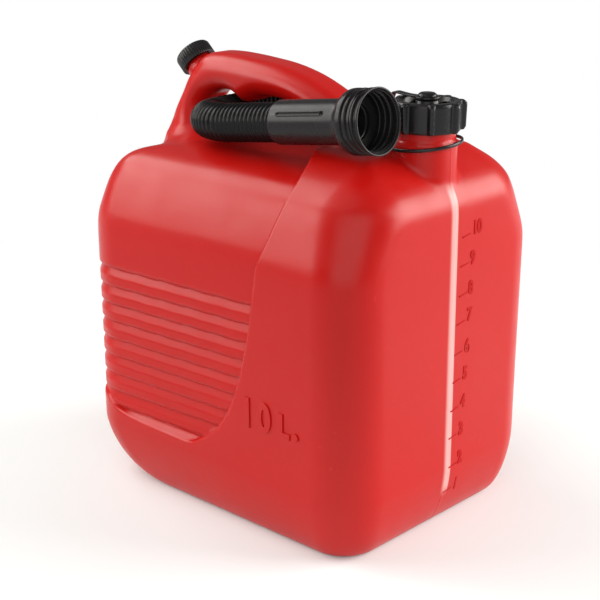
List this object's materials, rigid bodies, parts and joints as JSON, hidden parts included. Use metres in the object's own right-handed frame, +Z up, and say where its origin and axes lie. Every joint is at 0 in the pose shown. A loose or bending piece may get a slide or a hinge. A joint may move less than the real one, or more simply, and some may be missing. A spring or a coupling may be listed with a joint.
{
  "type": "plastic jerrycan",
  "caption": "Upright plastic fuel can with a hollow top handle, screw filler cap on a tether, vent cap, and a flexible corrugated spout stowed under the handle.",
  "frame": {"origin": "on the floor, under the middle of the can", "axes": "+X towards the filler neck, -Y the side that the spout's bell lies on, +Z up"},
  "size_m": [0.269, 0.208, 0.3187],
  "materials": {
    "red_plastic": "semi-matt moulded polyethylene, slightly translucent",
    "black_plastic": "semi-matt moulded polyethylene",
    "black_rubber": "matt rubber"
  },
  "bodies": {
    "can": {"can_body": "red_plastic", "tether_ring": "black_plastic", "tether_strap": "black_plastic", "spout_hose": "black_plastic"},
    "cap_gasket": {"filler_cap_seal": "black_rubber"},
    "tether_end": {"tether_eyelet": "black_plastic"},
    "filler_cap": {"filler_cap": "black_plastic"},
    "vent_gasket": {"vent_cap_seal": "black_rubber"},
    "vent_cap": {"vent_cap": "black_plastic"},
    "spout_head": {"spout_collar": "black_plastic", "spout_gasket": "black_rubber"},
    "spout_tip": {"spout_nozzle": "black_plastic"}
  },
  "joints": [
    {"name": "cap_lift_off", "type": "slide", "parent": "can", "child": "cap_gasket", "axis": [0, 0, 1], "range_m": [0, 0.06], "deforming": ["tether_strap"]},
    {"name": "cap_rise", "type": "slide", "parent": "cap_gasket", "child": "tether_end", "axis": [0, 0, 1], "range_m": [0, 0.00601], "deforming": ["tether_strap"]},
    {"name": "cap_turn", "type": "hinge", "parent": "tether_end", "child": "filler_cap", "pos_m": [0.108, 0, 0.275], "axis": [0, 0, 1], "range_deg": [0, 720]},
    {"name": "vent_rise", "type": "slide", "parent": "can", "child": "vent_gasket", "axis": [-0.7314, 0, 0.682], "range_m": [0, 0.00601]},
    {"name": "vent_turn", "type": "hinge", "parent": "vent_gasket", "child": "vent_cap", "pos_m": [-0.112, 0, 0.3055], "axis": [-0.7314, 0, 0.682], "range_deg": [0, 720]},
    {"name": "spout_swing", "type": "hinge", "parent": "can", "child": "spout_head", "pos_m": [-0.05469, -0.0075, 0.2803], "axis": [0, 0, 1], "range_deg": [-25, 0], "stiffness_Nm_per_rad": 0.4, "deforming": ["spout_hose"]},
    {"name": "nozzle_swing", "type": "hinge", "parent": "can", "child": "spout_tip", "pos_m": [-0.05469, -0.0075, 0.273], "axis": [0, 0, 1], "range_deg": [0, 20], "stiffness_Nm_per_rad": 0.4, "deforming": ["spout_hose"]}
  ],
  "couplings": [
    {"joint": "cap_rise", "follows": "cap_turn", "m_per_rad": 0.00047746},
    {"joint": "vent_rise", "follows": "vent_turn", "m_per_rad": 0.00047746}
  ]
}
